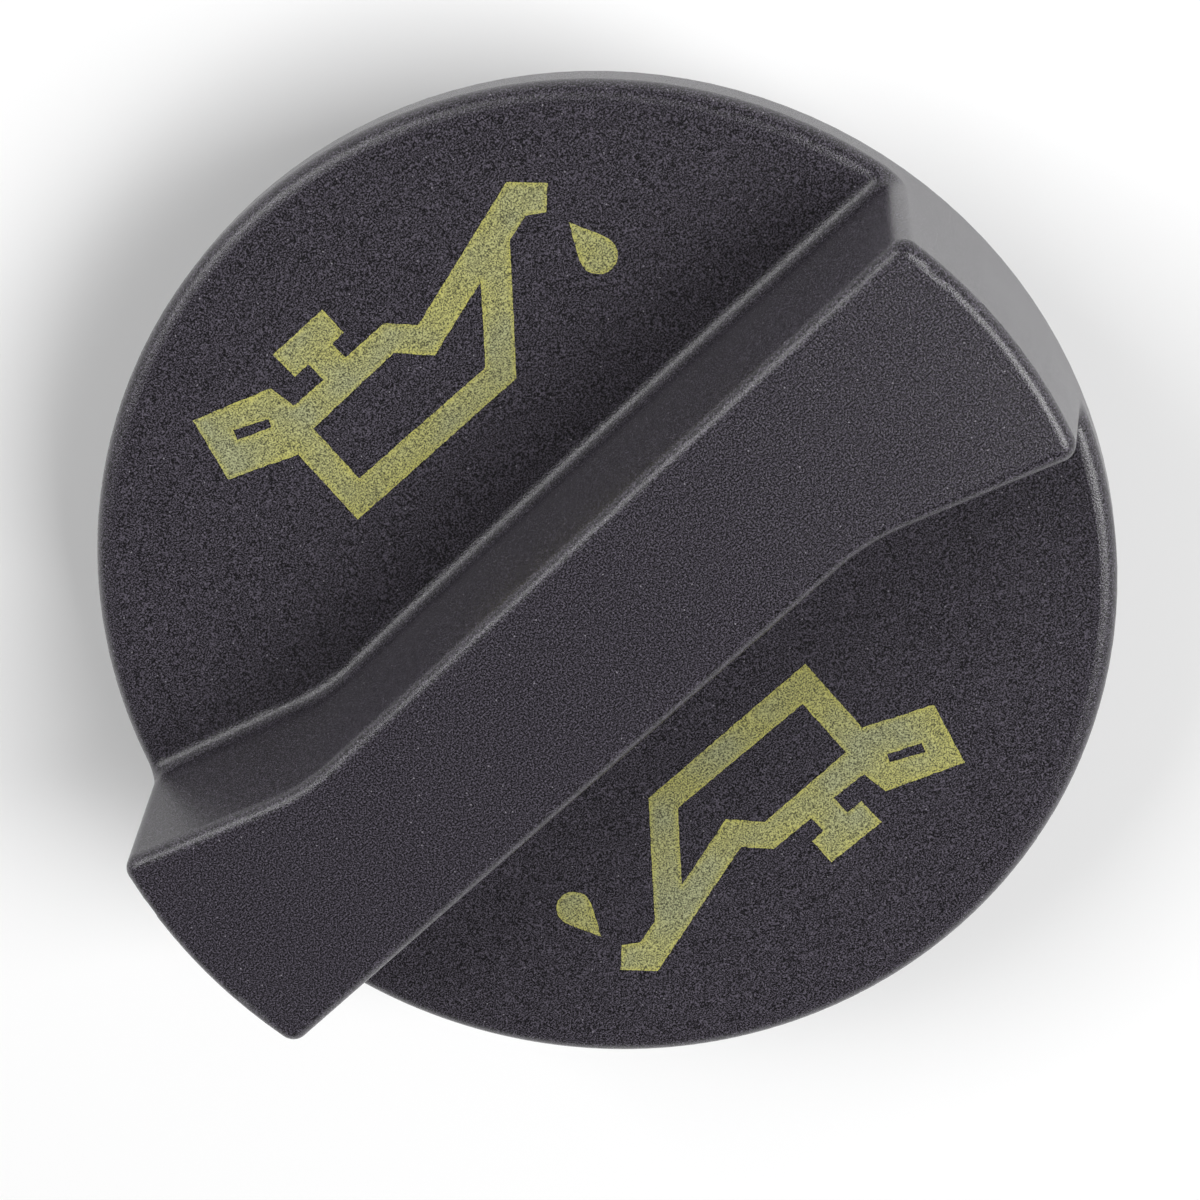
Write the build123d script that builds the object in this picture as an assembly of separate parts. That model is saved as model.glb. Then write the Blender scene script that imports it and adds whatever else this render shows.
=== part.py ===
"""Oil filler cap: a moulded bayonet cap with a grip bar across its dished disc, and a rubber seal ring."""
import os
from math import radians, sin, sqrt, tan

from build123d import *

os.makedirs("parts", exist_ok=True)

# All sizes are in millimetres and degrees
# Z is the cap's axis, up from the spigot's end face, and X runs along the grip

# Disc and rim
rim_diameter = 62.0
rim_height = 3.5
rim_draft = 4.2
rim_round = 1.0
rim_lower_round = 0.4
dish_depth = 1.4

# Grip bar, its plan measured at the sharp top edge
grip_height = 11.6
grip_width = 11.1
grip_draft = 5.5
grip_wall = 2.4
grip_flare_angle = 19.0
grip_flare_start = 16.8
grip_flare_round = 12.0
grip_top_round = 0.8
grip_foot_round = 0.9

# Hollow spigot that drops into the filler neck
spigot_diameter = 38.0
spigot_length = 14.0
spigot_wall = 2.6
spigot_chamfer = 0.5
core_ledge = 0.6

# Bayonet lugs on the spigot, with a lead-in slope and a stop
lug_reach = 3.0
lug_thickness = 3.6
lug_end_gap = 2.0
lug_span = 46.0
lug_middle = 90.0
lug_slope = 10.0
lug_slope_length = 7.0
lug_root = 1.0
stop_span = 6.0
stop_reach = 1.8
stop_seal_gap = 0.6

# Flat rubber ring on the spigot, under the disc
seal_width = 5.0
seal_thickness = 3.0
seal_round = 0.5
seal_fit = 0.1

# Radii and heights that follow from the sizes above
rim_radius = rim_diameter / 2
spigot_radius = spigot_diameter / 2
bore_radius = spigot_radius - spigot_wall
rim_bottom_z = spigot_length
rim_top_z = rim_bottom_z + rim_height
dish_z = rim_top_z - dish_depth
grip_top_z = rim_top_z + grip_height
seal_z = rim_bottom_z - seal_thickness
lug_top_z = lug_end_gap + lug_thickness


def wall_radius(z):
    """Radius of the drafted outer wall, which is one cone from the rim's foot to the grip's top."""
    return rim_radius - (z - rim_bottom_z) * tan(radians(rim_draft))


def ring(inner, outer, low, high):
    """Square-edged ring about the axis."""
    section = make_face(Polyline((inner, low), (outer, low), (outer, high), (inner, high), close=True))
    return revolve(Plane.XZ * section, Axis.Z)


def sector(inner, outer, low, high, span, middle):
    """Part of a ring, span degrees long, with its middle at the given angle from X."""
    section = make_face(Polyline((inner, low), (outer, low), (outer, high), (inner, high), close=True))
    return Rot(0, 0, middle - span / 2) * revolve(Plane.XZ * section, Axis.Z, span)


def dished_slab(radius):
    """Thick disc with the shallow dish of the cap's face on top, wider than the rim."""
    edge_radius = wall_radius(rim_top_z)
    sphere_radius = (edge_radius**2 + dish_depth**2) / (2 * dish_depth)
    edge_z = dish_z + sphere_radius - sqrt(sphere_radius**2 - radius**2)
    face = TangentArc((0, dish_z), (radius, edge_z), tangent=(1, 0))
    back = Polyline((radius, edge_z), (radius, rim_bottom_z), (0, rim_bottom_z), (0, dish_z))
    return revolve(Plane.XZ * make_face([*face.edges(), *back.edges()]), Axis.Z)


def grip_plan(reach):
    """Half-turn plan of the grip: parallel sides, each flared at one end only, run out past the rim."""
    side = grip_width / 2
    flare = (reach - grip_flare_start) * tan(radians(grip_flare_angle))
    half = [(-reach, -side), (grip_flare_start, -side), (reach, -side - flare)]
    other_half = [(-x, -y) for x, y in half]
    plan = make_face(Polyline(*half, *other_half, close=True))
    bends = plan.vertices().filter_by(lambda v: abs(v.X) < rim_radius)
    return fillet(bends, grip_flare_round)


def disc_and_grip():
    """Dished disc with the drafted grip across it, trimmed to the outer wall and rounded."""
    slab_radius = rim_radius + grip_height
    plan = Pos(0, 0, grip_top_z) * grip_plan(slab_radius + grip_height)
    grip = extrude(plan, grip_top_z - rim_bottom_z, dir=(0, 0, -1), taper=-grip_draft)
    body = dished_slab(slab_radius) + grip

    # Hollow round where the grip's sides stand on the dish
    dish = body.faces().filter_by(GeomType.SPHERE)
    foot = dish.edges().filter_by(lambda e: abs(e.center().Y) < rim_radius)
    body = fillet(foot, grip_foot_round)

    # One drafted cone trims the rim and both ends of the grip
    outline = Polyline(
        (0, rim_bottom_z),
        (rim_radius, rim_bottom_z),
        (wall_radius(grip_top_z), grip_top_z),
        (0, grip_top_z),
        close=True,
    )
    body = body & revolve(Plane.XZ * make_face(outline), Axis.Z)

    # Round that runs along the rim and up the grip's four corners, then round the grip's top
    wall = body.faces().filter_by(GeomType.CONE).sort_by(SortBy.AREA)[-1]
    corner = wall.edges().filter_by(lambda e: rim_bottom_z < e.center().Z < grip_top_z)
    body = fillet(corner.filter_by(GeomType.LINE, reverse=True), rim_round)
    body = fillet(body.faces().sort_by(Axis.Z)[-1].edges(), grip_top_round)
    return fillet(body.faces().sort_by(Axis.Z)[0].edges(), rim_lower_round)


def grip_core():
    """Drafted slot that hollows the grip from inside the spigot, so that its walls mould evenly."""
    top_z = grip_top_z - grip_wall
    depth = top_z - rim_bottom_z
    width = grip_width - 2 * grip_wall
    length = 2 * (bore_radius - core_ledge - depth * tan(radians(grip_draft)))
    plan = Pos(0, 0, top_z) * SlotOverall(length, width)
    return extrude(plan, depth, dir=(0, 0, -1), taper=-grip_draft)


def bayonet_lug():
    """Lug on the spigot's +Y side: the top slopes down at the end that leads as the cap turns clockwise."""
    root_radius = spigot_radius - lug_root
    tip_radius = spigot_radius + lug_reach
    lug = sector(root_radius, tip_radius, lug_end_gap, lug_top_z, lug_span, lug_middle)

    lead_x = tip_radius * sin(radians(lug_span / 2))
    slope_x = lead_x - lug_slope_length
    slope_z = lug_top_z - lug_slope_length * tan(radians(lug_slope))
    slope = make_face(Polyline((slope_x, lug_top_z), (lead_x, lug_top_z), (lead_x, slope_z), close=True))
    lug -= extrude(Plane.XZ * slope, -tip_radius)

    stop_radius = spigot_radius + stop_reach
    stop_top_z = seal_z - stop_seal_gap
    stop_middle = lug_middle + (lug_span - stop_span) / 2
    return lug + sector(root_radius, stop_radius, lug_top_z, stop_top_z, stop_span, stop_middle)


def cap_body():
    """The one-piece moulding."""
    body = disc_and_grip() - grip_core()
    spigot = ring(bore_radius, spigot_radius, 0, rim_bottom_z)
    spigot = chamfer(spigot.faces().sort_by(Axis.Z)[0].edges(), spigot_chamfer)
    lug = bayonet_lug()
    return body + spigot + lug + Rot(0, 0, 180) * lug


def seal_ring():
    """Flat rubber ring on the spigot, face to face with the underside of the disc."""
    inner = spigot_radius + seal_fit
    seal = ring(inner, inner + seal_width, seal_z, rim_bottom_z)
    return fillet(seal.faces().sort_by(Axis.Z)[0].edges(), seal_round)


export_step(cap_body(), "parts/cap_body.step")
export_step(seal_ring(), "parts/seal_ring.step")
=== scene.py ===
"""Oil filler cap: a black moulding with an oil-can sign printed on each side of its grip, and its seal."""
from math import acos, atan2, cos, pi, radians, sin

import bmesh
import bpy
from mathutils import Matrix, Vector, noise
from mathutils.bvhtree import BVHTree
from mathutils.geometry import tessellate_polygon


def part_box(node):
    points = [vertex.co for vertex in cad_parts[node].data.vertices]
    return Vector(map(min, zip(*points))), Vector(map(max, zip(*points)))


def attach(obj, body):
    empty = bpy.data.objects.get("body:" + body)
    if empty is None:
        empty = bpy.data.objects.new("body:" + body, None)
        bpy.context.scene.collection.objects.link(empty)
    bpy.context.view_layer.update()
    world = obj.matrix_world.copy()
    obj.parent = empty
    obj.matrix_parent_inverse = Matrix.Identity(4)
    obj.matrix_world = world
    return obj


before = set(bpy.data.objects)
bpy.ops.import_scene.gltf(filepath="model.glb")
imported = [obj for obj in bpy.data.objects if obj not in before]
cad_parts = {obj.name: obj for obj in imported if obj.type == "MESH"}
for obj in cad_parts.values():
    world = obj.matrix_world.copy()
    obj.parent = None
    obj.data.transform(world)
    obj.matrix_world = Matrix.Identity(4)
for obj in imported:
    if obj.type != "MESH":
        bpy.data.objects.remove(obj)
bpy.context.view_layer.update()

# Cap body
# One moulding of black glass-filled polyamide: the dished disc, the grip across it, the spigot, its lugs.
# The mould is spark-eroded on the side that shows, and polished on the core side that shapes the spigot.

mm = 0.001
cap_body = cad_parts["cap_body"]
grain_size = 0.1 * mm
blotch_size = 7.0 * mm
grain_depth = 0.034 * mm
fibre_spacing = 0.8 * mm
fibre_radius = 0.06 * mm
rim_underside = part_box("seal_ring")[1].z
grain_fade = 0.5 * mm


def colour(hex_value):
    """Linear colour with full alpha from an sRGB hex value."""
    channels = [int(hex_value[i:i + 2], 16) / 255 for i in (1, 3, 5)]
    return [c / 12.92 if c <= 0.04045 else ((c + 0.055) / 1.055) ** 2.4 for c in channels] + [1]


def add_node(tree, kind, inputs, **settings):
    """New node with its settings; each input, by identifier, takes a value or a link from another node."""
    node = tree.nodes.new(kind)
    for name, value in settings.items():
        setattr(node, name, value)
    for name, value in inputs.items():
        socket = next(s for s in node.inputs if s.identifier == name)
        if isinstance(value, bpy.types.NodeSocket):
            tree.links.new(value, socket)
        else:
            socket.default_value = value
    return node


def spark_textured_polyamide():
    """Black polyamide from a spark-eroded mould: a fine hard grain glitters under a soft grey haze, with
    painted shade in its valleys and painted glints of fibre ends.
    """
    material = bpy.data.materials.new("spark_textured_polyamide")
    material.use_nodes = True
    tree = material.node_tree
    tree.nodes.clear()
    place = add_node(tree, "ShaderNodeTexCoord", {}).outputs["Object"]

    grain = add_node(tree, "ShaderNodeTexNoise", {
        "Vector": place, "Scale": 1 / grain_size, "Detail": 2.0, "Roughness": 0.6,
    }).outputs["Fac"]
    blotch = add_node(tree, "ShaderNodeTexNoise", {
        "Vector": place, "Scale": 1 / blotch_size, "Detail": 3.0,
    }).outputs["Fac"]

    # Painted shade: the grain's valleys are coloured darker than its tips, as they hold less light
    shade = add_node(tree, "ShaderNodeMapRange", {
        "Value": grain, "From Min": 0.44, "From Max": 0.74,
    }).outputs["Result"]
    tint = add_node(tree, "ShaderNodeMix", {
        "Factor_Float": shade, "A_Color": colour("#0c0a0e"), "B_Color": colour("#6b6572"),
    }, data_type="RGBA").outputs[2]

    # Painted glints: pale flecks in the colour stand for glass-fibre ends glinting here and there; the
    # fibres are about 0.01 mm across, drawn larger so that they show
    fibre = add_node(tree, "ShaderNodeTexVoronoi", {
        "Vector": place, "Scale": 1 / fibre_spacing,
    }).outputs["Distance"]
    fibre_edge = fibre_radius / fibre_spacing
    painted_glint = add_node(tree, "ShaderNodeMapRange", {
        "Value": fibre, "From Min": fibre_edge, "From Max": 0.5 * fibre_edge,
    }).outputs["Result"]
    tint = add_node(tree, "ShaderNodeMix", {
        "Factor_Float": painted_glint, "A_Color": tint, "B_Color": colour("#8c8890"),
    }, data_type="RGBA").outputs[2]

    # The mould gives a little more shine in some places than in others
    roughness = add_node(tree, "ShaderNodeMapRange", {
        "Value": blotch, "From Min": 0.3, "From Max": 0.7, "To Min": 0.24, "To Max": 0.268,
    }).outputs["Result"]

    # The polished core side, from the rim's underside down, is almost smooth
    height = add_node(tree, "ShaderNodeSeparateXYZ", {"Vector": place}).outputs["Z"]
    grained = add_node(tree, "ShaderNodeMapRange", {
        "Value": height, "From Min": rim_underside, "From Max": rim_underside + grain_fade,
        "To Min": 0.1, "To Max": 0.8,
    }).outputs["Result"]
    relief = add_node(tree, "ShaderNodeBump", {
        "Height": grain, "Strength": grained, "Distance": grain_depth,
    }).outputs["Normal"]

    surface = add_node(tree, "ShaderNodeBsdfPrincipled", {
        "Base Color": tint, "Roughness": roughness, "IOR": 1.58, "Normal": relief,
    }).outputs["BSDF"]
    add_node(tree, "ShaderNodeOutputMaterial", {"Surface": surface})
    return material


for material_slot in cap_body.material_slots:
    material_slot.material = spark_textured_polyamide()

# Printed signs
# The common oil-can sign with its drop, twice, half a turn apart, printed on the dish by a soft pad.
# The olive-yellow ink is a thin film that follows the dish, and the plastic's grain breaks it up.

ink_thickness = 0.03 * mm
ink_sink = 0.04 * mm
ink_ridge = 0.3 * mm
ink_fray = 0.05 * mm
fray_seed = 1
sort_direction = Vector((1.0, 0.6, 0.1))
film_cell = 0.3 * mm
ink_speckle = grain_size
ink_patch = 4.0 * mm
dish_probes = (12 * mm, 26 * mm)

# The print sits a little off the cap's axis, and each sign has its own turn, in degrees
print_shift = Vector((-0.72, 0.75)) * mm
print_turns = {"sign_upper": -0.9, "sign_lower": 180.9}

# Corners in millimetres: the spout's mouth, the base, the handle, the filler and the shoulder
can_outline = [
    (14.30, 20.90), (16.00, 19.25), (14.75, 18.10), (13.75, 18.75), (12.10, 18.40),
    (6.50, 12.25), (-6.70, 12.50), (-6.40, 17.80),
    (-10.60, 19.60), (-9.45, 23.55), (-4.60, 21.75), (-4.40, 20.05),
    (-1.95, 19.95), (-1.90, 21.20), (-3.05, 21.25), (-3.00, 23.05),
    (1.10, 22.95), (1.00, 21.15), (0.00, 21.10), (0.00, 20.00),
    (3.15, 19.90), (4.55, 18.45),
]
can_window = [(9.10, 17.80), (5.65, 13.95), (-4.80, 14.25), (-4.55, 18.30), (2.30, 18.25), (3.95, 16.50)]
handle_slot = [(-6.10, 20.55), (-6.30, 20.05), (-8.40, 20.90), (-8.15, 21.50)]
drop_tip = (15.30, 16.80)
drop_centre = (15.20, 14.30)
drop_radius = 1.14


def drop_outline(steps=24):
    """Outline of the drop: its tip, and the arc between the two lines that touch it."""
    centre = Vector(drop_centre)
    axis = Vector(drop_tip) - centre
    half_gap = acos(drop_radius / axis.length)
    start = atan2(axis.y, axis.x) + half_gap
    angles = [start + (2 * pi - 2 * half_gap) * i / steps for i in range(steps + 1)]
    return [drop_tip] + [tuple(centre + drop_radius * Vector((cos(a), sin(a)))) for a in angles]


def measured_dish():
    """Function for the dish's height at a place, from two probes: it rises as the radius squared."""
    faces = BVHTree.FromObject(cap_body, bpy.context.evaluated_depsgraph_get())
    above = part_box("cap_body")[1].z
    inner, outer = [faces.ray_cast((0, radius, above), (0, 0, -1))[0] for radius in dish_probes]
    rise = (outer.z - inner.z) / (outer.y ** 2 - inner.y ** 2)
    return lambda place: inner.z + rise * (place.x ** 2 + place.y ** 2 - inner.y ** 2)


dish_height = measured_dish()


def distance_to_side(point, side):
    """Distance from a point to a straight side between two corners."""
    start, end = side
    share = (point - start).dot(end - start) / (end - start).length_squared
    return (point - start.lerp(end, min(1.0, max(0.0, share)))).length


def ink_film(name, outlines, turn):
    """Film of ink with the given outline and holes, turned about the axis and laid on the dish."""
    loops = [[Vector((x, y, 0)) * mm for x, y in outline] for outline in outlines]
    film = bmesh.new()
    ridge = film.verts.layers.float.new("ridge")
    verts = [film.verts.new(corner) for loop in loops for corner in loop]
    for triangle in tessellate_polygon(loops):
        film.faces.new([verts[i] for i in triangle])

    # Cut into small cells, so that the film can follow the dish and fray at its edge
    for axis in (0, 1):
        low = min(v.co[axis] for v in film.verts)
        high = max(v.co[axis] for v in film.verts)
        normal = Vector((axis == 0, axis == 1, 0))
        for i in range(1, int((high - low) / film_cell) + 1):
            bmesh.ops.bisect_plane(
                film, geom=film.verts[:] + film.edges[:] + film.faces[:],
                plane_co=normal * (low + i * film_cell), plane_no=normal,
            )

    # The ink stands up in a ridge along its outline, and the ridge fades out inwards
    sides = [(loop[i - 1], loop[i]) for loop in loops for i in range(len(loop))]
    place = Matrix.Translation(print_shift.to_3d()) @ Matrix.Rotation(radians(turn), 4, "Z")
    for vert in film.verts:
        vert[ridge] = max(0.0, 1 - min(distance_to_side(vert.co, side) for side in sides) / ink_ridge)
        if vert.is_boundary:
            vert.co += noise.noise_vector(vert.co / film_cell) * ink_fray
        vert.co = place @ vert.co
        vert.co.z = dish_height(vert.co) - ink_sink
    top = bmesh.ops.extrude_face_region(film, geom=film.faces[:], use_keep_orig=True)["geom"]
    bmesh.ops.translate(
        film, vec=(0, 0, ink_sink + ink_thickness),
        verts=[part for part in top if isinstance(part, bmesh.types.BMVert)],
    )
    bmesh.ops.recalc_face_normals(film, faces=film.faces)

    # Extruding makes the film's walls in a chance order, and sorting gives the same mesh in every run
    film.faces.sort(key=lambda face: face.calc_center_median().dot(sort_direction))
    mesh = bpy.data.meshes.new(name)
    film.to_mesh(mesh)
    film.free()
    piece = bpy.data.objects.new(name, mesh)
    bpy.context.scene.collection.objects.link(piece)
    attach(piece, "root")
    return piece


def pad_printed_ink():
    """Olive-yellow pad-printing ink: matt and speckled, worn grey in patches, yellow at its raised edge."""
    material = bpy.data.materials.new("pad_printed_ink")
    material.use_nodes = True
    tree = material.node_tree
    tree.nodes.clear()
    place = add_node(tree, "ShaderNodeTexCoord", {}).outputs["Object"]
    speckle = add_node(tree, "ShaderNodeTexNoise", {
        "Vector": place, "Scale": 1 / ink_speckle, "Detail": 2.0, "Roughness": 0.6,
    }).outputs["Fac"]
    patch = add_node(tree, "ShaderNodeTexNoise", {
        "Vector": place, "Scale": 1 / ink_patch, "Detail": 2.0,
    }).outputs["Fac"]
    worn = add_node(tree, "ShaderNodeMapRange", {
        "Value": patch, "From Min": 0.38, "From Max": 0.66,
    }).outputs["Result"]
    faded = add_node(tree, "ShaderNodeMix", {
        "Factor_Float": worn, "A_Color": colour("#c4c277"), "B_Color": colour("#b5b88b"),
    }, data_type="RGBA").outputs[2]
    cover = add_node(tree, "ShaderNodeMapRange", {
        "Value": speckle, "From Min": 0.36, "From Max": 0.64,
    }).outputs["Result"]
    thin = add_node(tree, "ShaderNodeMix", {
        "Factor_Float": cover, "A_Color": colour("#36351f"), "B_Color": faded,
    }, data_type="RGBA").outputs[2]
    ridge = add_node(tree, "ShaderNodeAttribute", {}, attribute_name="ridge").outputs["Fac"]
    edge = add_node(tree, "ShaderNodeMath", {
        "Value": ridge, "Value_001": cover,
    }, operation="MULTIPLY").outputs[0]
    tint = add_node(tree, "ShaderNodeMix", {
        "Factor_Float": edge, "A_Color": thin, "B_Color": colour("#bfba58"),
    }, data_type="RGBA").outputs[2]
    relief = add_node(tree, "ShaderNodeBump", {
        "Height": speckle, "Strength": 0.5, "Distance": grain_depth,
    }).outputs["Normal"]
    surface = add_node(tree, "ShaderNodeBsdfPrincipled", {
        "Base Color": tint, "Roughness": 0.6, "IOR": 1.5, "Normal": relief,
    }).outputs["BSDF"]
    add_node(tree, "ShaderNodeOutputMaterial", {"Surface": surface})
    return material


# The seed makes the frayed edges the same in every run
noise.seed_set(fray_seed)
ink = pad_printed_ink()
for sign, turn in print_turns.items():
    for part, outlines in (("can", [can_outline, can_window, handle_slot]), ("drop", [drop_outline()])):
        film = ink_film(sign + "_" + part, outlines, turn)
        film.data.materials.append(ink)

# Seal ring
# Flat ring of black nitrile rubber, pressed over the spigot up to the underside of the disc.
# It comes from a matt mould, so it looks dull and a little dusty beside the plastic.

seal_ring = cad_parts["seal_ring"]
bloom_size = 2.5 * mm
rubber_grain_size = 0.25 * mm
rubber_grain_depth = 0.02 * mm


def moulded_nitrile_rubber():
    """Black nitrile rubber from a matt mould: dull, finely grained, with a grey bloom in clouds."""
    material = bpy.data.materials.new("moulded_nitrile_rubber")
    material.use_nodes = True
    tree = material.node_tree
    tree.nodes.clear()
    place = add_node(tree, "ShaderNodeTexCoord", {}).outputs["Object"]
    bloom = add_node(tree, "ShaderNodeTexNoise", {
        "Vector": place, "Scale": 1 / bloom_size, "Detail": 4.0,
    }).outputs["Fac"]
    grain = add_node(tree, "ShaderNodeTexNoise", {
        "Vector": place, "Scale": 1 / rubber_grain_size, "Detail": 2.0,
    }).outputs["Fac"]
    tint = add_node(tree, "ShaderNodeMix", {
        "Factor_Float": bloom, "A_Color": colour("#141415"), "B_Color": colour("#2a2a2b"),
    }, data_type="RGBA").outputs[2]
    relief = add_node(tree, "ShaderNodeBump", {
        "Height": grain, "Strength": 0.4, "Distance": rubber_grain_depth,
    }).outputs["Normal"]
    surface = add_node(tree, "ShaderNodeBsdfPrincipled", {
        "Base Color": tint, "Roughness": 0.72, "IOR": 1.52, "Normal": relief,
    }).outputs["BSDF"]
    add_node(tree, "ShaderNodeOutputMaterial", {"Surface": surface})
    return material


for material_slot in seal_ring.material_slots:
    material_slot.material = moulded_nitrile_rubber()

# Floor
# A sheet of matt white card that the cap stands on, so wide that its edge doesn't show.
# It keeps the cap's soft shadow, and well away from the cap it is as white as the studio behind it.

# In metres from the cap's axis
floor_half = 0.9
white_from = 0.15
white_beyond = 0.5


def matt_white_card():
    """Matt white card, which the camera and the gloss on the cap see as plain white far from the cap."""
    material = bpy.data.materials.new("matt_white_card")
    material.use_nodes = True
    tree = material.node_tree
    tree.nodes.clear()
    card = add_node(tree, "ShaderNodeBsdfPrincipled", {
        "Base Color": colour("#fcfcfc"), "Roughness": 0.9, "Specular IOR Level": 0.0,
    }).outputs["BSDF"]
    white = add_node(tree, "ShaderNodeEmission", {
        "Color": colour("#ffffff"), "Strength": 1.0,
    }).outputs["Emission"]
    place = add_node(tree, "ShaderNodeTexCoord", {}).outputs["Object"]
    apart = add_node(tree, "ShaderNodeVectorMath", {"Vector": place}, operation="LENGTH").outputs["Value"]
    far = add_node(tree, "ShaderNodeMapRange", {
        "Value": apart, "From Min": white_from, "From Max": white_beyond,
    }).outputs["Result"]
    ray = add_node(tree, "ShaderNodeLightPath", {}).outputs
    seen = add_node(tree, "ShaderNodeMath", {
        "Value": ray["Is Camera Ray"], "Value_001": ray["Is Glossy Ray"],
    }, operation="MAXIMUM").outputs[0]
    far_seen = add_node(tree, "ShaderNodeMath", {
        "Value": far, "Value_001": seen,
    }, operation="MULTIPLY").outputs[0]
    surface = add_node(tree, "ShaderNodeMixShader", {
        "Fac": far_seen, "Shader": card, "Shader_001": white,
    }).outputs["Shader"]
    add_node(tree, "ShaderNodeOutputMaterial", {"Surface": surface})
    return material


floor_mesh = bpy.data.meshes.new("floor")
floor_corners = [(x, y, 0) for x, y in ((-1, -1), (1, -1), (1, 1), (-1, 1))]
floor_mesh.from_pydata([Vector(c) * floor_half for c in floor_corners], [], [(0, 1, 2, 3)])
floor_mesh.materials.append(matt_white_card())
floor = bpy.data.objects.new("floor", floor_mesh)
bpy.context.scene.collection.objects.link(floor)

# Light
# A white studio: its walls fade upwards to a dim ceiling, and a soft lamp stands on each side of the grip.
# The lamps stay away from where the disc and the grip's top would mirror them, so the black stays black.

# A rise is how far a direction points up, from 0 at the horizon to 1 overhead
wall_level = 1.0
wall_rise = 0.1
ceiling_level = 0.1
ceiling_rise = 0.5
lamp_size = 0.4

# Each lamp's place in metres and its power in watts
lamps = {
    "soft_box_left": ((-0.15, 0.50, 0.60), 2.6),
    "soft_box_right": ((0.36, -0.30, 0.65), 5.0),
}

studio = bpy.data.worlds.new("white_studio")
bpy.context.scene.world = studio
studio.use_nodes = True
studio.node_tree.nodes.clear()
look = add_node(studio.node_tree, "ShaderNodeTexCoord", {}).outputs["Generated"]
rise = add_node(studio.node_tree, "ShaderNodeSeparateXYZ", {"Vector": look}).outputs["Z"]
level = add_node(studio.node_tree, "ShaderNodeMapRange", {
    "Value": rise, "From Min": wall_rise, "From Max": ceiling_rise,
    "To Min": wall_level, "To Max": ceiling_level,
}).outputs["Result"]
sky = add_node(studio.node_tree, "ShaderNodeBackground", {
    "Color": colour("#ffffff"), "Strength": level,
}).outputs["Background"]
add_node(studio.node_tree, "ShaderNodeOutputWorld", {"Surface": sky})

for lamp_name, (place, power) in lamps.items():
    lamp_data = bpy.data.lights.new(lamp_name, "AREA")
    lamp_data.energy = power
    lamp_data.size = lamp_size
    lamp = bpy.data.objects.new(lamp_name, lamp_data)
    lamp.location = place
    lamp.rotation_euler = Vector(place).to_track_quat("Z", "Y").to_euler()
    bpy.context.scene.collection.objects.link(lamp)

# Camera
# Looks down on the cap from the +X side, turned so that the grip runs from lower left to upper right.
# A short telephoto lens close to the cap, with everything in focus.

camera_data = bpy.data.cameras.new("camera")
camera_data.lens = 73.04
camera_data.sensor_width = 36.0
camera_data.clip_start = 0.005
camera = bpy.data.objects.new("camera", camera_data)
camera.location = Vector((43.80, 25.18, 154.37)) * mm
camera.rotation_euler = [radians(angle) for angle in (-19.450, 5.523, -44.651)]
bpy.context.scene.collection.objects.link(camera)
bpy.context.scene.camera = camera
bpy.context.scene.view_settings.view_transform = "Standard"
